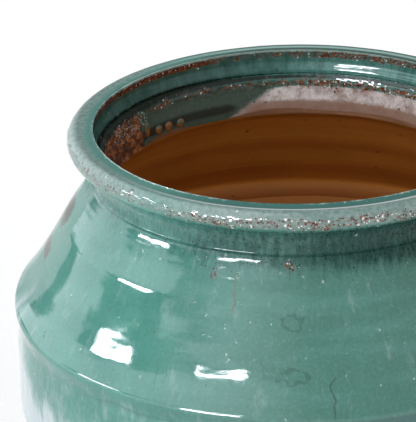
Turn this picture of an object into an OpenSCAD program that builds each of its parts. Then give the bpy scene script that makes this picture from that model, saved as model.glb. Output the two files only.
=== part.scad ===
// Glazed terracotta jar planter. The clay body is thrown in sections and luted together,
// and poured glaze coats cover the outside and the inside of the neck.
// The pot stands on its foot, centred on the Z axis, with +Z up. Millimetres.

/* [Overall] */
// Height from the floor to the top of the rim
pot_h = 340; // [310:1:380]
// Widest diameter, at the ridge and over the belly
belly_d = 400; // [385:1:430]
// Diameter of the foot where it rests
foot_d = 250; // [225:1:260]

/* [Rim and neck] */
// Outside diameter of the rolled rim
rim_d = 318; // [312:1:326]
// Diameter of the sharp inner edge of the rim
lip_d = 282; // [276:1:288]
// Radius of the roll along the outside of the rim
roll_r = 7.8; // [6:0.1:9]
// Diameter where the neck meets the shoulder
neck_d = 284; // [280:1:290]
// Height of the neck, from the shoulder to the top of the rim
neck_h = 37; // [34:1:42]
// Diameter of the narrowest part of the throat
throat_d = 258; // [254:1:262]

/* [Body] */
// Depth of the ridge below the top of the rim
ridge_drop = 125; // [115:1:135]
// Height of the groove band under the ridge
groove_h = 27; // [20:1:32]
// Height of the upright part of the belly
belly_h = 44; // [30:1:50]
// Radius of the curve below the belly
turn_r = 66; // [50:1:80]
// Thickness of the thrown clay wall
wall_t = 11; // [9:0.5:13]
// Depth of the throwing rings on the inside
ring_depth = 0.7; // [0:0.1:1]
// Spacing of the throwing rings
ring_pitch = 25; // [20:1:35]

/* [Floor and foot] */
// Height of the foot ring under the floor
foot_h = 10; // [8:1:14]
// Width of the foot ring
foot_w = 20; // [16:1:24]
// Thickness of the thrown floor
floor_t = 13; // [10:1:16]
// Diameter of the drain hole
drain_d = 26; // [16:1:40]

/* [Glaze] */
// Thickness of the glaze coats
glaze_t = 0.8; // [0.4:0.1:1.2]
// Height above the floor at which the outside glaze stops
bare_h = 24; // [18:1:40]
// Number of glaze drops that hang in the neck
drops = 4; // [1:1:6]

/* [Hidden] */
$fn = 96;

terracotta = [0.62, 0.36, 0.22];
dark_clay = [0.50, 0.28, 0.17];
turquoise = [0.38, 0.64, 0.60];
pale_turquoise = [0.60, 0.76, 0.74];
lavender_white = [0.80, 0.84, 0.88];
lining_grey = [0.62, 0.60, 0.58];

rim_r = rim_d / 2;
lip_r = lip_d / 2;
neck_r = neck_d / 2;
throat_r = throat_d / 2;
belly_r = belly_d / 2;
foot_r = foot_d / 2;
neck_z = pot_h - neck_h;
ridge_z = pot_h - ridge_drop;
belly_top_z = ridge_z - groove_h;
belly_low_z = belly_top_z - belly_h;
floor_z = foot_h + floor_t;

// The turn ends where it meets the straight taper to the foot
taper_deg = 32;
turn_end = [belly_r - turn_r * (1 - cos(taper_deg)), belly_low_z - turn_r * sin(taper_deg)];
taper_end = [foot_r + 3, foot_h];

// ---- Curves and paths. A point is [radius, height] ----

function bezier(a, b, c, d, n) = [for (i = [0:n]) let (t = i / n, u = 1 - t)
    u * u * u * a + 3 * u * u * t * b + 3 * u * t * t * c + t * t * t * d];
function arc(centre, r, from, to, n) = [for (i = [0:n]) let (t = from + (to - from) * i / n)
    centre + r * [cos(t), sin(t)]];
function line(a, b, n) = [for (i = [0:n]) a + (b - a) * i / n];
function part(path, first, last) = [for (i = [first:last]) path[i]];
function back(path) = [for (i = [len(path) - 1:-1:0]) path[i]];
function tail(path) = part(path, 1, len(path) - 1);
function head(path) = part(path, 0, len(path) - 2);
function unit(v) = v / norm(v);

// Moves each point of a path to its right, by a distance that waves with height
function inset(path, distance, wave = 0) = [for (i = [0:len(path) - 1]) let (
    before = unit(path[max(i, 1)] - path[max(i, 1) - 1]),
    after = unit(path[min(i, len(path) - 2) + 1] - path[min(i, len(path) - 2)]),
    middle = unit(before + after),
    depth = distance + wave * sin(360 * (path[i][1] - ridge_z) / ring_pitch))
    path[i] + [middle[1], -middle[0]] * depth / (middle * before)];

// Radius of a path that falls steadily, at height z
function radius_at(path, z) = [for (i = [0:len(path) - 2]) let (a = path[i], b = path[i + 1])
    if (a[1] >= z && b[1] < z) a[0] + (b[0] - a[0]) * (z - a[1]) / (b[1] - a[1])][0];

// A stepped joint from the outer edge a of a clay wall to its inner edge b
function lap(a, b, step) = [a, a + 0.45 * (b - a) + [0, step / 2], a + 0.55 * (b - a) - [0, step / 2], b];

// ---- The skin of the pot, from the throat up over the lip and down to the foot ----

throat = [throat_r, neck_z - 8];
step_low = [throat_r + 4, pot_h - 24];
step_top = [lip_r - 4.4, pot_h - 17];
groove = [lip_r - 1.8, pot_h - 18.4];
crest = [lip_r, pot_h];
soft_ridge = [lip_r + 10.5, pot_h];
roll_centre = [rim_r - roll_r, pot_h - roll_r];
neck_low = [neck_r - 1, neck_z + 1];
neck_edge = [neck_r + 0.6, neck_z - 0.2];
ridge = [belly_r - 0.4, ridge_z];

lining_slope = bezier(throat, throat + [0.4, 8], step_low - [0.6, 6], step_low, 6);
lining_step = bezier(step_low, step_low + [-0.2, 4], step_top - [2.4, 0], step_top, 5);
lining_cove = bezier(groove, groove + [0.6, 2.6], crest + [2.6, -8], crest, 8);
lip_dish = [for (i = [1:5]) let (t = i / 6) crest + (soft_ridge - crest) * t - [0, 3.2 * t * (1 - t)]];
rim_arc = arc(roll_centre, roll_r, 84, -104, 18);
rim_tuck = rim_arc[len(rim_arc) - 1];
neck_curve = bezier(rim_tuck, rim_tuck - [3.4, 0.6], neck_low + [-1.6, 11], neck_low, 8);

// The shoulder is a cone with a slight lean inwards above its middle and outwards below it
shoulder = [for (i = [1:18]) let (t = i / 18)
    neck_edge + [(ridge[0] - neck_edge[0]) * (t + t * (1 - t) * (0.19 * (1 - 2 * t) - 0.05)),
                 (ridge[1] - neck_edge[1]) * t]];
ridge_round = bezier(ridge, ridge + [0.8, -1.2], ridge + [0.6, -4], ridge + [-0.2, -6], 4);
groove_curve = bezier(ridge + [-0.2, -6], ridge + [-1.6, -12], [belly_r - 1.4, belly_top_z + 8],
    [belly_r - 0.3, belly_top_z], 5);
belly = line([belly_r - 0.1, belly_top_z - 4], [belly_r, belly_low_z], 7);
turn = arc([belly_r - turn_r, belly_low_z], turn_r, 0, -taper_deg, 8);
bare_edge = turn_end + (taper_end - turn_end) * (turn_end[1] - bare_h) / (turn_end[1] - foot_h);
taper = line(turn_end, bare_edge, 15);

lining = concat(lining_slope, tail(lining_step), [groove], tail(lining_cove));
rim = concat(lip_dish, rim_arc);
neck = concat(tail(neck_curve), [neck_edge]);
body = concat(shoulder, tail(ridge_round), tail(groove_curve), belly, tail(turn), tail(taper));
skin = concat(lining, rim, neck, body, [taper_end]);

i_groove = len(lining_slope) + len(lining_step) - 1;
i_crest = len(lining) - 1;
i_tuck = i_crest + len(rim);
i_neck = i_tuck + len(neck);
i_ridge = i_neck + len(shoulder);
i_white = i_ridge + len(ridge_round) + len(groove_curve) + len(belly) - 2;
i_bare = len(skin) - 2;
i_foot = len(skin) - 1;

// The clay lies one glaze thickness under the skin
clay = inset(skin, glaze_t);
clay_foot = clay[i_foot];

// The inner face of the wall, from the shoulder down to the floor, with its throwing rings.
// It follows the outside without the ridge and the groove
outside = concat(shoulder, tail(line(ridge, belly[0], 5)), tail(belly), tail(turn), tail(taper), [taper_end]);
wall_in = inset(outside, wall_t + glaze_t, ring_depth);
i_seam = len(shoulder) - 1;
throat_lip = bezier(clay[0], clay[0] - [-0.4, 5], wall_in[1] + [-5, 6], wall_in[1], 5);
inner_upper = concat(throat_lip, part(wall_in, 2, i_seam));
wall_corner = [radius_at(wall_in, floor_z), floor_z];
inner_lower = concat([for (i = [i_seam:len(wall_in) - 1]) if (wall_in[i][1] > floor_z + 1) wall_in[i]],
    [wall_corner]);

neck_joint = lap(clay[i_neck], clay[0], 6);
rim_joint = lap(clay[i_tuck], clay[i_groove], 3);
belly_joint = lap(clay[i_ridge], wall_in[i_seam], 8);

module turned(outline) {
    rotate_extrude() polygon(outline);
}

// A glaze coat over the clay between two points of the skin
module coat(first, last) {
    turned(concat(part(skin, first, last), back(part(clay, first, last))));
}

// ---- Clay sections ----

// Turned ring that the pot stands on, with chamfered edges
module foot_ring() {
    chamfer = 1.5;
    inner_r = foot_r - foot_w;
    color(dark_clay) turned([
        [clay_foot[0], foot_h],
        [foot_r, chamfer],
        [foot_r - chamfer, 0],
        [inner_r + chamfer, 0],
        [inner_r, chamfer],
        [inner_r, foot_h]]);
}

// Radius of the floor's underside, where it meets the bottom of the wall
floor_low_r = wall_corner[0] - 7;

// Thrown floor with its drain hole
module floor_disc() {
    drain_r = drain_d / 2;
    color(terracotta) turned([
        [drain_r, foot_h],
        [floor_low_r, foot_h],
        wall_corner,
        [drain_r, floor_z]]);
}

// Coil pressed into the corner between the floor and the wall
module floor_joint_coil() {
    coil_h = 13;
    beside_wall = [for (p = inner_lower) if (p[1] <= floor_z + coil_h) p];
    top = beside_wall[0];
    toe = wall_corner - [coil_h, 0];
    color(dark_clay) turned(concat(beside_wall,
        head(bezier(toe, toe + [7, 0.5], top - [7, 5], top, 6))));
}

// Lower section of the wall, from the floor up to the ridge
module lower_wall() {
    color(terracotta) turned(concat(part(clay, i_ridge, i_foot), [[floor_low_r, foot_h]],
        back(tail(inner_lower)), back(tail(belly_joint))));
}

// Coil smeared over the seam inside the belly
module belly_joint_coil() {
    reach = 2;
    along = part(wall_in, i_seam - reach, i_seam + reach);
    top = along[0];
    low = along[2 * reach];
    color(dark_clay) turned(concat(along, tail(head(bezier(low, low + [-4, 4], top + [-2, -4], top, 8)))));
}

// Upper section of the wall: the shoulder, from the ridge up to the neck
module upper_wall() {
    color(terracotta) turned(concat(part(clay, i_neck, i_ridge), tail(belly_joint),
        back(head(inner_upper)), back(part(neck_joint, 1, 2))));
}

// Short neck, with the step inside it that a lid or a liner can sit on
module neck_collar() {
    color(terracotta) turned(concat(part(clay, 0, i_groove), back(part(rim_joint, 1, 2)),
        part(clay, i_tuck, i_neck), part(neck_joint, 1, 2)));
}

// Rolled rim on top of the neck
module rim_roll() {
    color(terracotta) turned(concat(part(clay, i_groove, i_tuck), part(rim_joint, 1, 2)));
}

// ---- Glaze coats ----

// Turquoise glaze over the rim and the outside of the neck
module rim_glaze() {
    color(pale_turquoise) coat(i_crest, i_neck);
}

// Turquoise glaze over the shoulder and the belly
module shoulder_glaze() {
    color(turquoise) coat(i_neck, i_white);
}

// White glaze over the lower part, which stops short of the foot
module belly_glaze() {
    color(lavender_white) coat(i_white, i_bare);
}

// Glaze inside the neck, from the throat up to the lip
module neck_lining_glaze() {
    color(lining_grey) coat(0, i_crest);
}

// Beads of glaze that ran down the lining and froze above the throat
module glaze_drops() {
    drop_r = 3.6;
    drop_step = 4.7;
    middle_angle = 136;
    lining_solid = concat(part(skin, 0, 6), [[rim_r, step_low[1]], [rim_r, throat[1]]]);
    color(turquoise) difference() {
        for (i = [0:drops - 1])
            rotate(middle_angle + drop_step * (i - (drops - 1) / 2))
                translate([throat_r + 1.6, 0, throat[1] + 7])
                    sphere(drop_r);
        turned(lining_solid, $fn = 360);
    }
}

foot_ring();
floor_disc();
floor_joint_coil();
lower_wall();
belly_joint_coil();
upper_wall();
neck_collar();
rim_roll();
rim_glaze();
shoulder_glaze();
belly_glaze();
neck_lining_glaze();
glaze_drops();
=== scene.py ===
"""Looks of the glazed terracotta jar planter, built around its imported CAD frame.

Places on the pot are given as an angle round its axis in degrees and a height in millimetres.
-90 degrees is the front, which faces the camera, and 180 is the left side.
"""

import math

import bmesh
import bpy
import numpy as np
from mathutils import Matrix, Vector


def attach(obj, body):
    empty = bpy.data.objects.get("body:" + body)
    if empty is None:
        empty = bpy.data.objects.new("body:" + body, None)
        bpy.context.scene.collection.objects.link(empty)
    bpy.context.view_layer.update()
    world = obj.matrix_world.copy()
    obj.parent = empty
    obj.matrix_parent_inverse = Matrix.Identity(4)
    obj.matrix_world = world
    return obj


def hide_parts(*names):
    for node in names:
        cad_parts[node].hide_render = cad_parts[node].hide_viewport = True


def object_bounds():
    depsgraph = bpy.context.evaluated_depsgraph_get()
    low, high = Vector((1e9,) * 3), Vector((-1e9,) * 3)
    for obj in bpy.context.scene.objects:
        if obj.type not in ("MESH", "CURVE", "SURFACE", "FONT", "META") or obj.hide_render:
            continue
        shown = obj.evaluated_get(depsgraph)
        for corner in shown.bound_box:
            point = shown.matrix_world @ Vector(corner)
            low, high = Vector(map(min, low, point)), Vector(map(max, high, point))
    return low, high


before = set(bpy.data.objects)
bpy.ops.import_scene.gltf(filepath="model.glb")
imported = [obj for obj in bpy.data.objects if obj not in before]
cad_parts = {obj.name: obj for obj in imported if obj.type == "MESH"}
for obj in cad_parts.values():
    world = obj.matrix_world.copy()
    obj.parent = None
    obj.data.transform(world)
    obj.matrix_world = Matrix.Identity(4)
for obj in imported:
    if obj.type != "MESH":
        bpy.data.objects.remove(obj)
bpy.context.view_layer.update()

MM = 0.001
# Landmark heights from the top down: the rim, its underside, the fold under the cove in the neck,
# the neck's foot, the seam inside, the ridge over the belly, and the lap of the shoulder's glaze
POT_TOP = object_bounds()[1][2] / MM
RIM_FOOT = 328
FOLD = 322
NECK_FOOT = 303
SEAM = 218
RIDGE = 215
LAP = 204
# Radii of the rim's inner and outer edge
LIP_R = 141
EDGE_R = 149
# Angles on which the throwing ridges of the left and of the front lie
LEFT_ARC = (-200, -121)
FRONT_ARC = (-121, -70)


# ---- Outlines, read from the turned CAD nodes. A point is (radius, height) in millimetres ----

def cross_section(node):
    """The corners of a turned node's cross-section, in order round its outline."""
    flat = bmesh.new()
    flat.from_mesh(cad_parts[node].data)
    for v in flat.verts:
        v.co = (math.hypot(v.co.x, v.co.y), 0.0, v.co.z)
    bmesh.ops.remove_doubles(flat, verts=flat.verts, dist=0.05 * MM)
    links = {v: [e.other_vert(v) for e in v.link_edges] for v in flat.verts}
    path = [next(iter(links))]
    while True:
        onward = [v for v in links[path[-1]] if v not in path]
        if not onward:
            break
        path.append(onward[0])
    corners = np.array([(v.co.x, v.co.z) for v in path]) / MM
    flat.free()
    return corners


def split(points, others, gap=0.12):
    """The outline's run away from the others, from the top down, and then the rest of the outline."""
    free = np.linalg.norm(points[:, None] - others[None], axis=2).min(1) > gap
    start = next(i for i in range(len(points)) if free[i] and not free[i - 1])
    points, free = np.roll(points, -start, 0), np.roll(free, -start)
    run, rest = points[free], points[~free]
    return (run, rest) if run[0, 1] > run[-1, 1] else (run[::-1], rest[::-1])


def lengths(path):
    """Distance along a path to each of its points."""
    return np.r_[0, np.cumsum(np.linalg.norm(np.diff(path, axis=0), axis=1))]


def resampled(path, count):
    """The path with evenly spaced points, its corners rounded a little."""
    along = lengths(path)
    fine = np.linspace(0, along[-1], 6 * count)
    dense = np.stack([np.interp(fine, along, path[:, k]) for k in (0, 1)], 1)
    for _ in range(10):
        dense[1:-1] = 0.25 * dense[:-2] + 0.5 * dense[1:-1] + 0.25 * dense[2:]
    even = np.linspace(0, lengths(dense)[-1], count)
    return np.stack([np.interp(even, lengths(dense), dense[:, k]) for k in (0, 1)], 1)


def normals(path):
    """Unit vectors to the left of a path, which point out of the pot on a path that runs down."""
    along = np.gradient(path, axis=0)
    along /= np.linalg.norm(along, axis=1)[:, None]
    return np.stack([-along[:, 1], along[:, 0]], 1)


def loop_of(node, others, rows, back_rows):
    """A node's outline with rows points on its seen face, from the top down, then back_rows behind."""
    run, rest = split(section[node], np.vstack([section[n] for n in others]))
    return np.vstack([resampled(run, rows), resampled(rest, back_rows)])


section = {n: cross_section(n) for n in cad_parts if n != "glaze_drops"}


# ---- Smooth fields over the pot: angle in degrees, height in millimetres ----

def ripple(angle, height, seed, turns, spacing, count=40):
    """Smooth unit noise, with up to turns waves round the pot and about spacing millimetres up it."""
    draw = np.random.default_rng(seed)
    total = np.zeros(np.broadcast(angle, height).shape)
    for _ in range(count):
        waves = draw.integers(-turns, turns + 1)
        climb = 360 / (spacing * draw.uniform(0.7, 2.5)) * draw.choice([-1, 1])
        total = total + np.cos(np.radians(waves * angle + climb * height + draw.uniform(0, 360)))
    return total * math.sqrt(2 / count)


def hump(x, centre, width):
    return np.exp(-((x - centre) / width) ** 2)


def rise(x, low, high):
    """0 below low, 1 above high, and a smooth step between. It falls if low is the larger."""
    t = np.clip((x - low) / (high - low), 0, 1)
    return t * t * (3 - 2 * t)


def turned_away(angle, centre):
    """Angle in degrees from a centre, the short way round."""
    return (angle - centre + 180) % 360 - 180


# ---- Turned meshes ----

def turned(name, loop, face_rows, angles, push, masks, material, node, tuck=0.0):
    """A closed ring: an outline swept round the axis. Its first face_rows points are pushed out of
    the surface by push(angle, height), in millimetres, and the others are tucked in. masks() are
    stored on all its points."""
    angle = np.linspace(-180, 180, angles, endpoint=False)[None, :]
    ahead = np.roll(loop, -1, 0)
    way_round = np.sign((loop[:, 0] * ahead[:, 1] - ahead[:, 0] * loop[:, 1]).sum())
    out = -way_round * normals(np.vstack([loop[-1:], loop, loop[:1]]))[1:-1]
    out[:face_rows] = -way_round * normals(loop[:face_rows])
    seen = (np.arange(len(loop)) < face_rows)[:, None]
    far = np.where(seen, push(angle, loop[:, 1:2]), -tuck)
    radius = loop[:, 0:1] + out[:, 0:1] * far
    height = loop[:, 1:2] + out[:, 1:2] * far
    turn = np.radians(angle)
    points = np.stack([radius * np.cos(turn), radius * np.sin(turn), height], 2)
    row, col = np.meshgrid(np.arange(len(loop)), np.arange(angles), indexing="ij")
    below, beside = (row + 1) % len(loop), (col + 1) % angles
    faces = np.stack([row * angles + col, below * angles + col, below * angles + beside,
                      row * angles + beside], 2).reshape(-1, 4)
    mesh = bpy.data.meshes.new(name)
    mesh.from_pydata((points.reshape(-1, 3) * MM).tolist(), [], faces.tolist())
    for key, values in masks(angle + 0 * height, height, radius).items():
        layer = mesh.attributes.new(key, "FLOAT", "POINT")
        layer.data.foreach_set("value", values.reshape(-1).astype(np.float32))
    placed(name, mesh, material, node)


def placed(name, mesh, material, node):
    """Puts a finished mesh in the scene as a smooth piece that stands for a CAD node."""
    even = bmesh.new()
    even.from_mesh(mesh)
    bmesh.ops.recalc_face_normals(even, faces=even.faces)
    even.to_mesh(mesh)
    even.free()
    mesh.polygons.foreach_set("use_smooth", [True] * len(mesh.polygons))
    mesh.set_sharp_from_angle(angle=math.radians(50))
    mesh.materials.append(material)
    piece = bpy.data.objects.new(name, mesh)
    bpy.context.scene.collection.objects.link(piece)
    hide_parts(node)
    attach(piece, "root")


# ---- Materials ----

class Graph:
    """Short forms for the shader nodes of one material or world."""

    def __init__(self, tree):
        self.tree = tree

    def node(self, kind, inputs=None, **settings):
        made = self.tree.nodes.new("ShaderNode" + kind)
        for key, value in settings.items():
            setattr(made, key, value)
        for key, value in (inputs or {}).items():
            self.put(made.inputs[key], value)
        return made

    def put(self, socket, value):
        if isinstance(value, bpy.types.NodeSocket):
            self.tree.links.new(value, socket)
        else:
            socket.default_value = value

    def math(self, operation, a, b=0.0, c=0.0):
        return self.node("Math", {0: a, 1: b, 2: c}, operation=operation).outputs[0]

    def step(self, value, low, high):
        """0 below low, 1 above high, and smooth between. It falls if low is the larger."""
        made = self.node("MapRange", {"Value": value, "From Min": low, "From Max": high},
                         interpolation_type="SMOOTHSTEP")
        return made.outputs["Result"]

    def window(self, value, low, high, soft):
        """1 between low and high, and 0 outside."""
        opened = self.step(value, low - soft, low + soft)
        return self.math("MULTIPLY", opened, self.step(value, high + soft, high - soft))

    def mix(self, share, a, b):
        return self.node("Mix", {0: share, 6: a, 7: b}, data_type="RGBA").outputs[2]

    def tint(self, share, amount, colour, over):
        """Lays a colour over another one, where share is high, amount strong."""
        return self.mix(self.math("MULTIPLY", share, amount), over, colour)

    def place(self):
        """The place on the pot in millimetres."""
        at = self.node("TexCoord").outputs["Object"]
        return self.node("VectorMath", {0: at, "Scale": 1 / MM}, operation="SCALE").outputs[0]

    def drum(self, run):
        """The place on a drum of the belly's size, its heights shrunk by run, so that drips run down."""
        at = self.node("SeparateXYZ", {0: self.place()})
        level = self.node("CombineXYZ", {0: at.outputs["X"], 1: at.outputs["Y"]}).outputs[0]
        round_it = self.node("VectorMath", {0: level}, operation="NORMALIZE").outputs[0]
        wide = self.node("VectorMath", {0: round_it, "Scale": 180.0}, operation="SCALE").outputs[0]
        high = self.node("CombineXYZ", {2: self.math("MULTIPLY", at.outputs["Z"], run)}).outputs[0]
        return self.node("VectorMath", {0: wide, 1: high}, operation="ADD").outputs[0]

    def noise(self, size, run=None, detail=3.0, rough=0.5):
        """Noise from 0 to 1 with features about size millimetres wide. With run they are drips."""
        at = self.place() if run is None else self.drum(run)
        inputs = {"Vector": at, "Scale": 1 / size, "Detail": detail, "Roughness": rough}
        return self.node("TexNoise", inputs).outputs["Fac"]

    def dots(self, size, share, reach=0.42):
        """Ragged dots in a share of the cells, which are size millimetres wide."""
        blur = self.node("TexNoise", {"Vector": self.place(), "Scale": 1.4 / size}).outputs["Color"]
        push = self.node("VectorMath", {0: blur, "Scale": 0.9 * size}, operation="SCALE").outputs[0]
        at = self.node("VectorMath", {0: self.place(), 1: push}, operation="ADD").outputs[0]
        cell = self.node("TexVoronoi", {"Vector": at, "Scale": 1 / size})
        lot = self.node("SeparateColor", {0: cell.outputs["Color"]}).outputs[0]
        chosen = self.step(self.math("SUBTRACT", share, lot), -0.01, 0.03)
        near = self.step(cell.outputs["Distance"], reach + 0.08, reach - 0.10)
        return self.math("MULTIPLY", chosen, near)

    def mask(self, name):
        return self.node("Attribute", attribute_name=name).outputs["Fac"]

    def ragged(self, mask, noise, amount, low=0.42, high=0.58):
        """A mask whose soft edge is broken up by noise."""
        spread = self.math("MULTIPLY_ADD", self.math("SUBTRACT", noise, 0.5), amount, mask)
        return self.step(spread, low, high)


def rgb(red, green, blue):
    """A colour from its 0 to 255 display values."""
    def linear(level):
        level /= 255
        return level / 12.92 if level <= 0.04045 else ((level + 0.055) / 1.055) ** 2.4
    return (linear(red), linear(green), linear(blue), 1.0)


def new_material(name):
    made = bpy.data.materials.new(name)
    made.use_nodes = True
    made.node_tree.nodes.clear()
    g = Graph(made.node_tree)
    shader = g.node("BsdfPrincipled")
    out = g.node("OutputMaterial")
    g.tree.links.new(shader.outputs["BSDF"], out.inputs["Surface"])
    return made, g, shader


def finish(g, shader, colour, relief, roughness):
    """Joins a colour, a relief, which is a list of (height socket, millimetres), and a roughness."""
    total = 0.0
    for height, depth in relief:
        total = g.math("MULTIPLY_ADD", height, depth * MM, total)
    bump = g.node("Bump", {"Height": total, "Strength": 1.0, "Distance": 1.0})
    g.put(shader.inputs["Normal"], bump.outputs["Normal"])
    g.put(shader.inputs["Base Color"], colour)
    g.put(shader.inputs["Roughness"], roughness)
    shader.inputs["IOR"].default_value = 1.55


def glaze_relief(g):
    """Orange peel, fine grain and the slow waves of a poured coat."""
    return [(g.noise(5.5, detail=5.0, rough=0.6), 0.032), (g.noise(15, detail=1.0), 0.05),
            (g.noise(2.0, 0.35, detail=3.0), 0.014)]


def cracks(g, lines):
    """Thin wandering lines that run down the glaze: angle, lowest and highest height, half width."""
    at = g.node("SeparateXYZ", {0: g.place()})
    angle = g.math("DEGREES", g.math("ARCTAN2", at.outputs["Y"], at.outputs["X"]))
    wander = g.math("MULTIPLY", g.math("SUBTRACT", g.noise(14, detail=3.0), 0.5), 4.0)
    total = 0.0
    for centre, low, high, half in lines:
        off = g.math("ABSOLUTE", g.math("ADD", g.math("SUBTRACT", angle, centre), wander))
        reach = g.window(at.outputs["Z"], low, high, 2.0)
        line = g.math("MULTIPLY", g.step(off, half, half / 2), reach)
        total = g.math("MAXIMUM", total, line)
    return total


def specks(g, spread):
    """The specked part of a rust mask, and the rusty specks in it, in blotches and in dots."""
    speckled = g.ragged(g.mask("rust"), g.noise(10, detail=4.0, rough=0.65), 2.2, 0.25, 0.95)
    blotch = g.noise(2.8, detail=5.0, rough=0.72)
    edge = g.math("MULTIPLY_ADD", speckled, -0.17 * spread, 0.74)
    blotches = g.step(g.math("SUBTRACT", blotch, edge), 0.0, 0.03)
    dots = g.dots(1.7, g.math("MULTIPLY", speckled, 0.40 * spread))
    return speckled, g.math("MAXIMUM", blotches, dots)


def pale_crest(g):
    """Where the glaze is pale on the sharp inner edge of the rim: partly glaze worn thin there, partly a
    painted highlight.
    """
    return g.ragged(g.mask("crest"), g.noise(6, detail=4.0), 1.4, 0.3, 0.8)


def turquoise_coat(g, drips, threads, grain):
    """The poured coat's colour: cloudy turquoise, with drips, threads and grain in it, and greyer on the
    right, partly as painted shade.
    """
    clouds = g.noise(42, detail=3.0)
    bands = g.noise(90, 7.0, detail=2.0)
    dull = g.mix(drips, rgb(64, 98, 86), rgb(78, 108, 94))
    colour = g.mix(g.step(clouds, 0.35, 0.65), rgb(70, 131, 121), rgb(78, 140, 129))
    colour = g.tint(g.step(drips, 0.50, 0.80), 0.10, rgb(112, 168, 160), colour)
    # Greyer on the right: partly the glaze's tone, partly painted shade
    colour = g.tint(g.mask("dull"), 0.90, dull, colour)
    colour = g.tint(g.step(threads, 0.50, 0.72), 0.12, rgb(44, 92, 84), colour)
    colour = g.tint(g.step(bands, 0.45, 0.65), 0.14, rgb(116, 168, 160), colour)
    colour = g.tint(g.step(grain, 0.50, 0.75), 0.24, rgb(122, 168, 160), colour)
    return g.tint(g.step(grain, 0.50, 0.28), 0.26, rgb(44, 90, 82), colour)


def belly_colours(g, colour, threads):
    """White that runs down the belly, the lap's edge, painted shade in the groove under the ridge and
    below the ridge on the right, the ringed marks and the scorched spots.
    """
    flames = g.noise(9, 0.42, detail=5.0, rough=0.66)
    white = g.ragged(g.mask("white"), flames, 1.6, 0.05, 1.05)
    wash = g.mix(g.step(threads, 0.42, 0.62), rgb(196, 204, 214), rgb(170, 194, 198))
    colour = g.tint(white, 0.92, wash, colour)
    # The lap's edge is a real glaze edge; its share in the groove under the ridge is painted shade
    colour = g.tint(g.mask("lap"), 0.45, rgb(56, 112, 104), colour)
    # Painted shade: a darker band under the ridge on the right of the belly
    colour = g.tint(g.mask("under"), 0.60, rgb(50, 84, 84), colour)
    marks = g.ragged(g.mask("marks"), g.noise(5, detail=4.0, rough=0.6), 1.9, 0.45, 0.70)
    colour = g.tint(marks, 0.45, rgb(46, 84, 74), colour)
    scorch = g.ragged(g.mask("scorch"), g.noise(4, 0.25, detail=4.0), 1.6, 0.45, 0.7)
    return g.tint(scorch, 0.80, rgb(62, 50, 40), colour)


def rim_colours(g, colour):
    """Glaze pooling dark round the neck, with painted shadow under the rim, and worn pale on the rim,
    with a painted highlight along its outer edge, a crest that is partly a painted highlight, and
    painted shade on the far side. Also gives the neck band and the crest.
    """
    # The neck band is real pooled glaze, darkened further by painted shadow under the rim
    pooled_and_shaded = g.ragged(g.mask("pooled_and_shaded"), g.noise(4, 0.45, detail=5.0, rough=0.7), 1.5, 0.1, 1.0)
    scratch = g.noise(2.2, 0.4, detail=4.0, rough=0.7)
    scratches = g.mix(g.step(scratch, 0.40, 0.62), rgb(14, 34, 28), rgb(44, 72, 64))
    dark_neck_colour = g.mix(g.mask("dull"), rgb(46, 86, 82), scratches)
    colour = g.tint(pooled_and_shaded, 0.94, dark_neck_colour, colour)
    wear = g.mix(g.step(g.noise(3, detail=4.0), 0.35, 0.65), rgb(112, 134, 129), rgb(138, 156, 152))
    colour = g.tint(g.mask("thin"), 0.84, wear, colour)
    # Painted highlight: a near-white line along the rim's outer edge
    colour = g.tint(g.mask("edge"), 0.90, rgb(222, 230, 230), colour)
    dish = g.ragged(g.mask("dish"), g.noise(3, detail=4.0), 0.35, 0.0, 1.0)
    # Painted shade: the dish is darker and greyer on the far side of the rim
    hollow = g.mix(g.mask("far"), rgb(62, 106, 100), rgb(66, 86, 76))
    colour = g.tint(dish, 0.85, hollow, colour)
    crest = pale_crest(g)
    return g.tint(crest, 0.85, rgb(176, 200, 194), colour), pooled_and_shaded, crest


def outer_specks(g, colour, grain):
    """Rust and glints on the rim, soot on the neck, pale pinhole dots painted as small glints, and
    cracks. Also their relief.
    """
    speckled, rusty = specks(g, 1.15)
    colour = g.tint(speckled, 0.18, rgb(130, 112, 108), colour)
    rust = g.mix(g.step(grain, 0.4, 0.6), rgb(52, 20, 8), rgb(134, 66, 38))
    colour = g.mix(rusty, colour, rust)
    small_glints = g.dots(1.5, g.math("MULTIPLY", speckled, 0.15), 0.34)
    big_glints = g.dots(3.1, g.math("MULTIPLY", speckled, 0.10), 0.34)
    glints = g.math("MAXIMUM", small_glints, big_glints)
    colour = g.mix(glints, colour, rgb(240, 244, 245))
    small_soot = g.dots(1.3, g.math("MULTIPLY", g.mask("soot"), 0.26), 0.36)
    big_soot = g.dots(3.0, g.math("MULTIPLY", g.mask("soot"), 0.06), 0.26)
    soot = g.math("MAXIMUM", small_soot, big_soot)
    colour = g.tint(soot, 0.85, rgb(24, 26, 18), colour)
    # Painted highlights: sparse pale dots painted as glints at tiny holes in the glaze
    pinhole_glints = g.dots(7.0, 0.10, 0.10)
    colour = g.tint(pinhole_glints, 0.9, rgb(206, 216, 214), colour)
    colour = g.tint(cracks(g, RUSTY_CRACKS), 0.65, rgb(124, 78, 62), colour)
    colour = g.tint(cracks(g, DARK_CRACKS), 0.65, rgb(58, 80, 66), colour)
    return colour, [(rusty, -0.35), (glints, 0.25), (soot, -0.12)]


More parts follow.
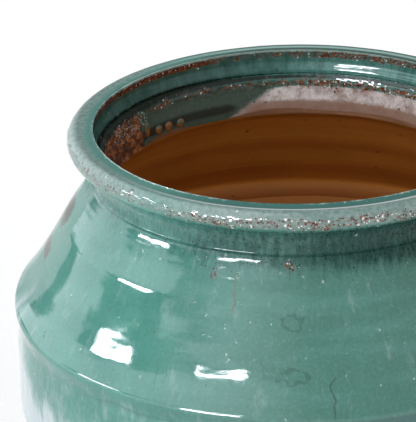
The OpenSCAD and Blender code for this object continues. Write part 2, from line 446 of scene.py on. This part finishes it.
def outer_glaze():
    """Outside glaze: turquoise that runs into white below the belly and breaks rusty on the rim."""
    made, g, shader = new_material("turquoise_glaze")
    drips = g.noise(4, 0.10, detail=4.0, rough=0.6)
    threads = g.noise(1.3, 0.05, detail=3.0, rough=0.65)
    grain = g.noise(2.2, detail=4.0, rough=0.75)
    colour = turquoise_coat(g, drips, threads, grain)
    colour = belly_colours(g, colour, threads)
    colour, pooled_and_shaded, crest = rim_colours(g, colour)
    colour, pitted = outer_specks(g, colour, grain)
    finish(g, shader, colour, glaze_relief(g) + pitted, g.math("MULTIPLY_ADD", crest, 0.35, 0.045))
    gloss = g.math("MULTIPLY_ADD", pooled_and_shaded, -0.36, 0.5)
    gloss = g.math("MULTIPLY_ADD", g.mask("matt"), -0.46, gloss)
    g.put(shader.inputs["Specular IOR Level"], gloss)
    return made


def lining_coat(g, fine):
    """The coat inside the neck: a teal cove, a dark fold, and dark green or pinkish white under it, with
    painted shade in the fold and over its left side.
    """
    cloud = g.noise(10, detail=4.0, rough=0.6)
    streaks = g.noise(5, 0.25, detail=4.0, rough=0.65)
    colour = g.mix(g.step(cloud, 0.3, 0.7), rgb(62, 112, 106), rgb(90, 142, 134))
    colour = g.tint(g.step(streaks, 0.45, 0.70), 0.42, rgb(34, 66, 60), colour)
    green = g.mix(g.step(fine, 0.3, 0.7), rgb(54, 72, 62), rgb(72, 92, 80))
    colour = g.mix(g.ragged(g.mask("green"), fine, 0.7, 0.2, 0.8), colour, green)
    # Painted shade over the lining's left side, lighter where the glaze is green
    shade_amount = g.math("MULTIPLY_ADD", g.mask("green"), -0.42, 0.72)
    colour = g.tint(g.mask("shaded_left"), shade_amount, rgb(22, 38, 28), colour)
    frost = g.math("MULTIPLY_ADD", fine, 0.35, g.math("MULTIPLY", cloud, 0.65))
    pink = g.mix(g.step(frost, 0.38, 0.62), rgb(214, 207, 207), rgb(156, 138, 132))
    colour = g.mix(g.ragged(g.mask("pink"), fine, 0.8, 0.25, 0.75), colour, pink)
    blush = g.ragged(g.mask("blush"), fine, 0.5, 0.1, 0.9)
    colour = g.tint(blush, 0.90, rgb(136, 106, 90), colour)
    shade = g.ragged(g.mask("shade"), fine, 1.1, 0.3, 0.8)
    return g.tint(shade, 0.93, rgb(14, 20, 8), colour)


def lining_specks(g, colour, fine):
    """Rust, scabs and glints on the lining's edges, its pale crest, and soot. Also their relief."""
    speckled, rusty = specks(g, 1.45)
    colour = g.tint(speckled, 0.22, rgb(120, 110, 98), colour)
    rust = g.mix(g.step(fine, 0.4, 0.6), rgb(70, 28, 8), rgb(150, 82, 50))
    colour = g.mix(rusty, colour, rust)
    scab = g.ragged(g.mask("scab"), g.noise(4, detail=5.0, rough=0.7), 1.3, 0.35, 0.65)
    dark_rust = g.mix(g.step(fine, 0.4, 0.6), rgb(50, 26, 12), rgb(132, 70, 42))
    colour = g.tint(scab, 0.92, dark_rust, colour)
    # Pale crest: partly worn glaze, partly a painted highlight
    colour = g.tint(pale_crest(g), 0.8, rgb(176, 200, 194), colour)
    glints = g.dots(1.6, g.math("MULTIPLY", speckled, 0.22), 0.36)
    colour = g.mix(glints, colour, rgb(232, 236, 236))
    soot = g.dots(4.2, 0.16, 0.20)
    colour = g.tint(soot, 0.85, rgb(44, 34, 22), colour)
    return colour, [(rusty, -0.25), (glints, 0.20)]


def lining_crust(g, colour, fine):
    """Crumbly earth, glassy grains and the bare lower edge. Also their relief and where it is dull."""
    crumbs = g.noise(2.6, detail=6.0, rough=0.8)
    clods = g.noise(9, detail=3.0, rough=0.6)
    crust = g.ragged(g.mask("crust"), crumbs, 1.1, 0.40, 0.55)
    earth = g.mix(g.step(crumbs, 0.40, 0.58), rgb(66, 30, 6), rgb(186, 106, 44))
    earth = g.tint(g.step(clods, 0.58, 0.44), 0.70, rgb(58, 28, 6), earth)
    colour = g.mix(crust, colour, earth)
    grainy = g.ragged(g.mask("grains"), clods, 1.2, 0.3, 0.7)
    grains = g.dots(1.7, g.math("MULTIPLY", grainy, 0.62))
    glassy = g.mix(g.step(fine, 0.4, 0.6), rgb(96, 138, 132), rgb(190, 196, 194))
    colour = g.mix(grains, colour, glassy)
    bare = g.ragged(g.mask("bare"), crumbs, 0.35, 0.35, 0.65)
    colour = g.mix(bare, colour, rgb(108, 68, 38))
    relief = [(g.math("MULTIPLY", crust, crumbs), 2.2), (grains, 0.4)]
    return colour, relief, g.math("MAXIMUM", g.math("MAXIMUM", crust, bare), grains)


def lining_glaze():
    """Glaze inside the neck, with what stuck to it."""
    made, g, shader = new_material("lining_glaze")
    fine = g.noise(2.0, detail=4.0, rough=0.7)
    colour = lining_coat(g, fine)
    colour, pitted = lining_specks(g, colour, fine)
    colour, lumpy, dull = lining_crust(g, colour, fine)
    dull = g.math("MAXIMUM", dull, g.math("MULTIPLY", g.mask("green"), 0.55))
    relief = glaze_relief(g) + pitted + lumpy
    finish(g, shader, colour, relief, g.math("MULTIPLY_ADD", dull, 0.65, 0.05))
    return made


def terracotta():
    """Bare fired clay with faint throwing lines, pores and sandy grain, darkened by painted shade inside
    and made paler by painted light under the seam.
    """
    made, g, shader = new_material("terracotta")
    lines = g.noise(60, 9.0, detail=2.0, rough=0.5)
    cloud = g.noise(60, detail=3.0)
    grain = g.noise(0.9, detail=3.0, rough=0.7)
    colour = g.mix(g.step(cloud, 0.3, 0.7), rgb(182, 118, 44), rgb(194, 128, 50))
    colour = g.tint(g.step(lines, 0.40, 0.75), 0.22, rgb(150, 92, 40), colour)
    colour = g.tint(g.step(grain, 0.50, 0.80), 0.25, rgb(214, 152, 92), colour)
    # Painted shade on the inside walls
    colour = g.tint(g.mask("inner_shade"), 0.5, rgb(132, 80, 20), colour)
    # Painted light on the clay under the seam
    colour = g.tint(g.mask("lit_lower_clay"), 0.50, rgb(198, 146, 98), colour)
    pores = g.dots(14, 0.30, 0.06)
    colour = g.tint(pores, 0.9, rgb(40, 18, 4), colour)
    relief = [(lines, 0.10), (grain, 0.05), (pores, -0.8)]
    finish(g, shader, colour, relief, 0.82)
    shader.inputs["Specular IOR Level"].default_value = 0.12
    return made


def drop_glaze():
    """Thick beads of glaze that froze brown and smoky green."""
    made, g, shader = new_material("drop_glaze")
    swirl = g.noise(3.2, detail=2.0)
    colour = g.mix(g.step(swirl, 0.40, 0.62), rgb(76, 84, 62), rgb(136, 78, 38))
    finish(g, shader, colour, glaze_relief(g), 0.10)
    return made


# ---- Surfaces. Pushes out of the surface are in millimetres ----

# Thin cracks in the outside glaze: angle, lowest and highest height, half width in degrees
RUSTY_CRACKS = [(-107.5, 270, 294, 0.20)]
DARK_CRACKS = [(-122, 221, 237, 0.10), (-119.8, 223, 234, 0.10), (-85.5, 214, 236, 0.22)]
# Throwing ridges of the shoulder on its left and at its front: height, and how far it stands out
LEFT_RIDGES = [(190, 0), (216, 0.20), (240, 0.34), (246, 0.38), (262, 0.56), (273.2, 0.70),
               (282, 0.19), (288, 0.01), (292, 0), (296, 0.07), (299.5, 0.24), (301.2, 0.42),
               (304, 0.50), (309, 0)]
FRONT_RIDGES = [(190, 0), (214, -0.38), (240, -0.40), (252, -0.20), (268, -0.44), (278, -0.46),
                (283, -0.42), (288, -0.28), (292, -0.10), (296, 0.19), (300.5, 0.60), (304, 0.72),
                (309, 0)]
# Hollows of the cove inside the rim, in the same order
COVE_FOLDS = [(320, 0), (322, 0.1), (325.3, 0.9), (329.8, -0.5), (334, -0.5), (337, -0.2), (340, 0)]
# Frozen beads of glaze inside the neck: angle, height, half width, half height
BEADS = [(129, 300.5, 3.5, 3.6), (134, 301, 3.5, 4.0), (138.5, 301.5, 3.4, 3.8),
         (144, 305.5, 3.2, 6.2)]
BEAD_DEPTH = 1.9
# Height of the lining's narrowest place, and how much it widens for each millimetre above it
THROAT_LEVEL = 295
LINING_SLOPE = 0.16
# How deep the beads' middles are in the lining
BEAD_SINK = 0.3
# How far things stand out: the pot's unevenness, the rim's crumbs, the glaze's waves, its swirls on
# the front, its lap, the lining's crust and its lumps
WOBBLE, CRUMBS, WAVES, SWIRLS, LAP_STEP, CRUST, LUMPS = 0.14, 0.20, 0.025, 0.028, 0.3, 0.6, 0.15
# The same for bare clay: finger rings inside, its unevenness, the smear under the seam, and the coil's
RINGS, CLAY_WAVES, SMEAR, COIL_SMEAR = 0.25, 0.08, 4.2, 2.0
# Height where the white starts on the left, how much lower it starts elsewhere, and how far it fades
WHITE_TOP, WHITE_DROP, WHITE_FADE = 234, 36, 60
# Height where the lining's glaze ends
LINING_END = 296.5
# Two ringed marks on the front of the shoulder: angle, height, half width in degrees, half height
MARKS = [(-93.5, 266.5, 2.6, 5.0), (-93.0, 236.5, 3.4, 5.0)]
# Rusty spots where the shoulder meets the neck, in the same order
RUST_SPOTS = [(-113.5, 291, 1.3, 4.5), (-94.5, 298, 1.6, 3.0)]


def ridges(height, table, blur=1.0):
    """How far the throwing ridges of a table stand out, with rounded corners."""
    levels, pushes = zip(*table)
    return sum(np.interp(height + d, levels, pushes) for d in np.linspace(-blur, blur, 7)) / 7


def between(angle, low, high, soft=5):
    """1 for angles between low and high, and 0 elsewhere."""
    half = (high - low) / 2
    return rise(abs(turned_away(angle, low + half)), half + soft, half - soft)


def slow_wobble(angle, height):
    """The pot's slight hand-made unevenness."""
    return WOBBLE * ripple(angle, height, seed=3, turns=4, spacing=160, count=16)


def lap_edge(angle):
    """Height of the wavy edge where the shoulder's glaze laps over the belly's."""
    return LAP + 1.5 * ripple(angle, 0, seed=14, turns=40, spacing=50, count=30)


def outer_push(angle, height):
    """Throwing ridges, the rim's crumbly band, the waves of the glaze and its lap."""
    left, front = between(angle, *LEFT_ARC, 6), between(angle, *FRONT_ARC, 6)
    shoulder = left * ridges(height, LEFT_RIDGES) + front * ridges(height, FRONT_RIDGES)
    crumbs = ripple(angle, height, seed=5, turns=150, spacing=5, count=60)
    crumbly = hump(height, POT_TOP - 6.5, 3.2) * CRUMBS * crumbs
    waves = WAVES * ripple(angle, height, seed=8, turns=40, spacing=22)
    swirls = ripple(angle, height, seed=9, turns=80, spacing=24)
    waves = waves + SWIRLS * front * hump(height, RIDGE + 21, 7) * swirls
    lap = LAP_STEP * rise(height, lap_edge(angle) - 1, lap_edge(angle) + 1)
    lap = lap * rise(height, RIDGE + 15, RIDGE - 3)
    return slow_wobble(angle, height) + shoulder + crumbly + waves + lap


def ringed_marks(angle, height):
    """The two marks with ragged, darker rims."""
    total = 0.0
    for centre, level, wide, tall in MARKS:
        off = np.hypot(turned_away(angle, centre) / wide, (height - level) / tall)
        off = off + 0.16 * ripple(angle, height, seed=7, turns=150, spacing=6)
        total = np.maximum(total, 0.30 * rise(off, 0.9, 0.5) + hump(off, 0.85, 0.2))
    return total


def rim_masks(angle, height, radius):
    """Shares of the colours on the rim, whose left, far side and near side differ. The far side is kept
    darker as painted shade.
    """
    far = 1 - between(angle, -205, -20, 20)
    left = between(angle, -240, -128, 24)
    rest = 1 - left
    above = rise(height, RIM_FOOT - 8, RIM_FOOT + 2)
    high = rise(height, POT_TOP - 3.5, POT_TOP - 1.5)
    dish = rise(radius, EDGE_R - 0.4, EDGE_R - 1.6) * rest
    dish = np.maximum(dish, 0.8 * rise(radius, EDGE_R, LIP_R - 0.5) * left)
    pale = rise(radius, EDGE_R - 1.5, EDGE_R - 0.5) * rest
    pale = np.maximum(pale, rise(radius, LIP_R + 1, EDGE_R + 2) * left)
    band = height + 1.1 * ripple(angle, 0, seed=6, turns=24, spacing=50, count=20)
    rust = rise(band, RIM_FOOT - 1, RIM_FOOT + 4.5) * rise(band, RIM_FOOT + 11, RIM_FOOT + 7)
    rust = rust * rise(radius, EDGE_R + 1, EDGE_R + 5)
    spots = sum(hump(turned_away(angle, at), 0, wide) * hump(height, level, tall)
                for at, level, wide, tall in RUST_SPOTS)
    return {
        "rust": rust * (1 - 0.5 * left) + 1.5 * spots,
        # The pale band is real wear; keeping it off the far side is painted shade
        "thin": (1 - 0.8 * far * rest) * rise(height, RIM_FOOT, RIM_FOOT + 5) * pale,
        # The outer edge line is a painted highlight, weaker on the far side
        "edge": (1 - 0.6 * far) * rest * hump(radius, EDGE_R + 0.2, 1.2) * high,
        # The pale crest is partly worn glaze and partly a painted highlight, stronger on the far side
        "crest": (0.35 + 0.65 * far) * hump(radius, LIP_R + 0.6, 1.3) * high,
        # On the far side the dark dish colour also covers the roll's top, as painted shade
        "dish": dish * above + far * rise(radius, EDGE_R + 1, EDGE_R + 3) * above * rest,
        "far": far * rest,
    }


def neck_masks(angle, height):
    """Shares of the glaze pooling round the neck with painted shadow under the rim, deepest on the
    right, the soot and the matt patch round the neck.
    """
    shady = 0.40 + 0.24 * between(angle, -124, 100, 12) + 0.46 * between(angle, -84, 100, 14)
    sooty = 0.15 + 0.85 * between(angle, -122, 60, 8)
    # Real pooled glaze plus painted shadow under the rim; shady sets the painted shade, deepest on the
    # right
    pooled_and_shaded = rise(height, NECK_FOOT - 19, NECK_FOOT + 3) * rise(height, RIM_FOOT + 3, RIM_FOOT - 3)
    soot = rise(height, NECK_FOOT - 17, NECK_FOOT) * rise(height, RIM_FOOT + 3, RIM_FOOT - 1)
    matt = rise(height, LAP - 14, LAP - 4) * rise(height, NECK_FOOT + 15, NECK_FOOT + 2)
    return {
        "pooled_and_shaded": pooled_and_shaded * shady,
        "soot": sooty * soot,
        "matt": between(angle, -225, -173, 9) * matt,
    }


def body_masks(angle, height):
    """Shares of the colours on the shoulder and the belly. The white reaches highest on the left."""
    run_down = 9 * ripple(angle, 0, seed=21, turns=20, spacing=50, count=30)
    run_down = run_down + 5 * ripple(angle, height, seed=22, turns=60, spacing=60, count=30)
    white_top = WHITE_TOP - WHITE_DROP * between(angle, -150, 100, 18)
    white = rise(height + run_down, white_top, white_top - WHITE_FADE)
    milky = 0.18 * rise(height, RIDGE - 2, RIDGE - 10) * between(angle, -230, -98, 10)
    # Painted shade in the hollow between the lap and the ridge
    groove = rise(height, LAP - 6, LAP - 1) * rise(height, RIDGE - 1, RIDGE - 5)
    # Painted shade below the ridge on the right side
    under = rise(height, RIDGE - 2.5, RIDGE - 5) * rise(height, LAP - 14, LAP - 4)
    # The right side greyer: partly the glaze's tone, partly painted shade
    dull = between(angle, -112, 40, 22) * (0.62 + 0.38 * between(angle, -62, 40, 20))
    return {
        "white": np.maximum(white, milky),
        "lap": hump(height, lap_edge(angle), 1.1) + 0.4 * groove,
        "under": between(angle, -92, 20, 3) * under,
        "scorch": between(angle, -196, -175, 3) * (hump(height, 276, 10) + hump(height, 250, 6)),
        "dull": dull * rise(height, LAP - 6, LAP + 4),
        "marks": ringed_marks(angle, height),
    }


def outer_masks(angle, height, radius):
    """Shares of each colour on the outside of the pot."""
    return rim_masks(angle, height, radius) | neck_masks(angle, height) | body_masks(angle, height)


def lining_push(angle, height):
    """The cove and its fold, the crust on the left, and lumps along the two rusty edges."""
    crusty = between(angle, 145, 182, 4) * rise(height, FOLD + 3, FOLD - 4) * CRUST
    crusty = crusty * (1 + ripple(angle, height, seed=12, turns=120, spacing=5))
    lumps = LUMPS * ripple(angle, height, seed=11, turns=150, spacing=5, count=60)
    lumps = lumps * (hump(height, 338, 3.5) + hump(height, FOLD - 4, 4))
    return slow_wobble(angle, height) + ridges(height, COVE_FOLDS) + crusty + lumps


def lining_masks(angle, height, radius):
    """Shares of each colour inside the neck. Its left is green and crusted, and in painted shade, and
    the rest is pink.
    """
    left = rise(turned_away(angle, 106) + 0.75 * (height - 300), -6, 6) * between(angle, 80, 200, 6)
    glaze_end = LINING_END + 1.5 * ripple(angle, 0, seed=31, turns=12, spacing=50, count=12)
    lip = between(angle, 118, 200, 8) * rise(height, RIM_FOOT + 8, RIM_FOOT + 11)
    # Painted shade over the left side of the lining
    shaded_left = between(angle, 96, 250, 34)
    groove = hump(height, FOLD, 1.3 + 1.7 * between(angle, 112, 250, 20))
    upper_rust = rise(height, RIM_FOOT + 3.5, RIM_FOOT + 7) * (1 - 0.6 * shaded_left)
    lower_rust = 1.1 * hump(height, FOLD - 4.2, 3.6) * (1 - 0.4 * left)
    glassy = rise(height, 306, 311) * rise(height, FOLD + 1, FOLD - 3)
    return {
        "rust": upper_rust + 2 * lip + lower_rust,
        "scab": between(angle, 112, 212, 8) * hump(height, 336.4, 2.4),
        # The pale crest is partly worn glaze and partly a painted highlight
        "crest": hump(height, POT_TOP - 0.3, 0.9),
        "green": left * rise(height, FOLD, FOLD - 5),
        "shaded_left": shaded_left,
        "pink": (1 - left) * rise(height, FOLD - 5, FOLD - 9),
        "blush": (1 - left) * rise(height, 308, 302),
        "shade": groove + left * hump(height, 302.5, 4) * between(angle, 108, 150, 4),
        "bare": rise(height, glaze_end + 1.2, glaze_end - 1.2),
        "crust": between(angle, 147, 184, 4) * rise(height, FOLD + 2, FOLD - 6),
        "grains": between(angle, 143, 166, 4) * glassy,
    }


def inner_push(angle, height):
    """Finger rings inside, and the clay smeared down from the seam of the two thrown halves."""
    rings = RINGS * ripple(angle, height, seed=41, turns=3, spacing=30, count=20)
    smear = SMEAR * rise(height, SEAM - 75, SEAM - 8) * rise(height, SEAM + 3, SEAM - 4)
    return rings + smear + slow_wobble(angle, height)


def inner_masks(angle, height, radius):
    """Shares of the painted shade inside, over the upper wall, in two thin bands on it and under the
    lining's edge, and of the painted light that makes the clay under the seam paler.
    """
    # Painted shade: the upper wall, two thin bands and the top under the lining's edge are darker
    smoky = 0.45 * rise(height, SEAM, SEAM + 5) * rise(height, 289, 279)
    shadow_under_lining = 1.5 * rise(height, 290, 294)
    return {"inner_shade": smoky + 0.35 * hump(height, 246, 8) + 0.3 * hump(height, 273, 4) + shadow_under_lining,
            # Painted light: the clay under the seam is paler
            "lit_lower_clay": rise(height, SEAM + 2, SEAM - 3)}


def clay_push(angle, height):
    """Bare clay's unevenness, which leaves the foot flat."""
    waves = ripple(angle, height, seed=51, turns=12, spacing=12, count=30)
    return CLAY_WAVES * waves * rise(height, 0, 2)


def coil_push(angle, height):
    """The coil's lower edge is smeared flush with the wall below it."""
    return clay_push(angle, height) + COIL_SMEAR * rise(height, SEAM + 6, SEAM - 2)


turquoise = outer_glaze()
lining = lining_glaze()
clay = terracotta()

COATED = ["rim_roll", "neck_collar"]
# Node, the nodes that hide the rest of its outline, rows seen and hidden, angles, push, masks,
# material, slot, and how far the hidden side is tucked in
SURFACES = [
    ("rim_glaze", COATED, 88, 12, 960,
     outer_push, outer_masks, turquoise, "turquoise_glaze", 0.0),
    ("shoulder_glaze", ["upper_wall", "lower_wall"], 140, 10, 640,
     outer_push, outer_masks, turquoise, "turquoise_glaze", 0.0),
    ("belly_glaze", ["lower_wall"], 96, 10, 720,
     outer_push, outer_masks, turquoise, "white_glaze", 0.0),
    ("neck_lining_glaze", COATED, 92, 10, 900,
     lining_push, lining_masks, lining, "lining_glaze", 0.0),
    ("upper_wall", ["shoulder_glaze", "neck_collar", "lower_wall"], 90, 60, 480,
     inner_push, inner_masks, clay, "terracotta", 0.4),
    ("lower_wall", ["shoulder_glaze", "belly_glaze", "upper_wall", "floor_disc"], 120, 80, 480,
     inner_push, inner_masks, clay, "terracotta", 0.4),
]
for node, hidden_by, rows, hidden_rows, angles, push, masks, material, slot, tuck in SURFACES:
    outline = loop_of(node, hidden_by, rows, hidden_rows)
    turned(node + "_skin", outline, rows, angles, push, masks, material, node, tuck)

# Pieces of bare clay that are pushed all round: node and push
BODIES = [("belly_joint_coil", coil_push), ("floor_joint_coil", clay_push),
          ("floor_disc", clay_push), ("foot_ring", clay_push)]
BODY_ROWS, BODY_ANGLES = 90, 480
for node, push in BODIES:
    outline = resampled(np.vstack([section[node], section[node][:1]]), BODY_ROWS + 1)[:-1]
    turned(node + "_body", outline, BODY_ROWS, BODY_ANGLES, push, inner_masks, clay, node)

# Glaze covers these two, so they are carried over as they are
for node in COATED:
    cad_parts[node].data.materials.clear()
    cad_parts[node].data.materials.append(clay)


def glaze_beads():
    """Flattened beads of glaze that froze in a row as they ran down inside the neck."""
    throat = section["neck_lining_glaze"][:, 0].min()
    mesh = bpy.data.meshes.new("glaze_beads")
    build = bmesh.new()
    for angle, height, width, tall in BEADS:
        turn = math.radians(angle)
        reach = (throat - BEAD_SINK + LINING_SLOPE * (height - THROAT_LEVEL)) * MM
        size = Matrix.Diagonal((BEAD_DEPTH * MM, width * MM, tall * MM, 1.0))
        place = Matrix.Translation((reach * math.cos(turn), reach * math.sin(turn), height * MM))
        bmesh.ops.create_icosphere(build, subdivisions=4, radius=1.0,
                                   matrix=place @ Matrix.Rotation(turn, 4, "Z") @ size)
    build.to_mesh(mesh)
    build.free()
    placed("glaze_beads", mesh, drop_glaze(), "glaze_drops")


glaze_beads()


# ---- Studio ----

FLOOR_SIZE = 24.0
COOL_WHITE = (0.96, 1.0, 1.06, 1.0)
PLAIN_WHITE = (1.0, 1.0, 1.0, 1.0)
# The arch that tilt is measured from: the side and the height of its top, and its fall to each side
ARCH_SIDE, ARCH_TOP, ARCH_FALL = 92, 35, -0.00193
# What the glaze reflects, as lowest and highest side and lowest and highest tilt, in degrees
DARK_PANELS = [(-78, -37, -0.8, 4.2), (-14, 25, -4, 6.4), (22, 43, 0.8, 6.4), (41, 58, 2.0, 6.4)]
LAMPS = [(-7, 11, 2.0, 5.2), (41, 64, 4.1, 5.3), (41, 64, -14, -5)]
LAMP_POWER = 60.0
# How wide the tears in the dark panels' edges are, and how far they go in, in degrees of side and tilt
TEAR_WIDE, TEAR_HIGH = 9.0, 1.2
TEAR_SIDE, TEAR_TILT = 26.0, 2.6
# Side from which the smooth light is strongest
SMOOTH_SIDE = 35


def panels(g, table, side, tilt, soft):
    """1 on the panels of a table and 0 between them."""
    total = 0.0
    for side_low, side_high, tilt_low, tilt_high in table:
        pane = g.math("MULTIPLY", g.window(side, side_low, side_high, soft),
                      g.window(tilt, tilt_low, tilt_high, soft))
        total = g.math("MAXIMUM", total, pane)
    return total


def reflected(g, side, up, tilt):
    """What reflections see: a bright veil with torn dark panels in it, and the lamps."""
    across, along = g.math("DIVIDE", side, TEAR_WIDE), g.math("DIVIDE", tilt, TEAR_HIGH)
    torn_at = g.node("CombineXYZ", {0: across, 1: along}).outputs[0]
    torn = g.node("TexNoise", {"Vector": torn_at, "Scale": 1.0, "Detail": 4.0}).outputs["Fac"]
    torn = g.math("SUBTRACT", torn, 0.5)
    torn_side = g.math("MULTIPLY_ADD", torn, TEAR_SIDE, side)
    torn_tilt = g.math("MULTIPLY_ADD", torn, TEAR_TILT, tilt)
    veil = g.math("MULTIPLY_ADD", g.step(side, -86, -46), 2.15, 0.15)
    veil = g.math("MULTIPLY", veil, g.math("MULTIPLY_ADD", g.step(side, 38, 100), -0.82, 1.0))
    dark = panels(g, DARK_PANELS, torn_side, torn_tilt, 0.6)
    dark = g.math("MULTIPLY", dark, g.math("MULTIPLY_ADD", g.step(side, 15, 50), -0.55, 1.0))
    veil = g.math("MULTIPLY", veil, g.math("MULTIPLY_ADD", dark, -0.93, 1.0))
    veil = g.math("MULTIPLY", veil, g.step(up, -9, -4))
    return g.math("MULTIPLY_ADD", panels(g, LAMPS, side, tilt, 0.25), LAMP_POWER, veil)


def studio():
    """A white studio. Reflections see its panels, and its other light is smooth, strongest from
    SMOOTH_SIDE. side is 90 towards the camera and 0 to the left."""
    world = bpy.data.worlds.new("studio")
    bpy.context.scene.world = world
    world.use_nodes = True
    world.node_tree.nodes.clear()
    g = Graph(world.node_tree)
    way = g.node("SeparateXYZ", {0: g.node("TexCoord").outputs["Generated"]})
    x, y, z = (way.outputs[k] for k in "XYZ")
    side = g.math("DEGREES", g.math("ARCTAN2", g.math("MULTIPLY", y, -1), g.math("MULTIPLY", x, -1)))
    up = g.math("DEGREES", g.math("ARCSINE", z))
    off_top = g.math("SUBTRACT", side, ARCH_SIDE)
    arch = g.math("MULTIPLY_ADD", g.math("MULTIPLY", off_top, off_top), ARCH_FALL, ARCH_TOP)
    seen = reflected(g, side, up, g.math("SUBTRACT", up, arch))

    facing = g.math("COSINE", g.math("RADIANS", g.math("SUBTRACT", side, SMOOTH_SIDE)))
    smooth = g.math("MULTIPLY_ADD", facing, 0.55, 1.05)
    path = g.node("LightPath")
    level = g.node("Mix", {0: path.outputs["Is Glossy Ray"], 2: smooth, 3: seen}).outputs[0]
    level = g.node("Mix", {0: path.outputs["Is Camera Ray"], 2: level, 3: 1.0}).outputs[0]
    tone = g.mix(path.outputs["Is Glossy Ray"], PLAIN_WHITE, COOL_WHITE)
    light = g.node("Background", {"Color": tone, "Strength": level})
    out = g.node("OutputWorld")
    g.tree.links.new(light.outputs["Background"], out.inputs["Surface"])


def white_floor():
    """A plain white floor under the pot."""
    mesh = bpy.data.meshes.new("floor")
    half = FLOOR_SIZE / 2
    mesh.from_pydata([(-half, -half, 0), (half, -half, 0), (half, half, 0), (-half, half, 0)], [],
                     [(0, 1, 2, 3)])
    made, g, shader = new_material("floor_white")
    g.put(shader.inputs["Base Color"], g.mix(g.noise(600), rgb(255, 255, 255), rgb(252, 252, 253)))
    shader.inputs["Roughness"].default_value = 0.7
    mesh.materials.append(made)
    floor = bpy.data.objects.new("floor", mesh)
    bpy.context.scene.collection.objects.link(floor)


# Focal length and sensor width in millimetres, where the camera is in metres, and its pitch and roll
FOCAL, SENSOR = 238.9, 36
EYE = (-0.063, -1.790, 1.0617)
PITCH, ROLL = 23.74, -1.31


def camera():
    """Looks down at the rim from the front, close in, with the pot off to the right."""
    lens = bpy.data.cameras.new("camera")
    lens.sensor_width = SENSOR
    lens.lens = FOCAL
    lens.clip_end = 100
    eye = bpy.data.objects.new("camera", lens)
    pitch, roll = math.radians(PITCH), math.radians(ROLL)
    ahead = Vector((0, math.cos(pitch), -math.sin(pitch)))
    level_right, level_up = Vector((1, 0, 0)), Vector((0, math.sin(pitch), math.cos(pitch)))
    right = math.cos(roll) * level_right + math.sin(roll) * level_up
    up = math.cos(roll) * level_up - math.sin(roll) * level_right
    turn = Matrix((right, up, -ahead)).transposed().to_4x4()
    eye.matrix_world = Matrix.Translation(EYE) @ turn
    bpy.context.scene.collection.objects.link(eye)
    bpy.context.scene.camera = eye


studio()
white_floor()
camera()
bpy.context.scene.view_settings.view_transform = "Standard"
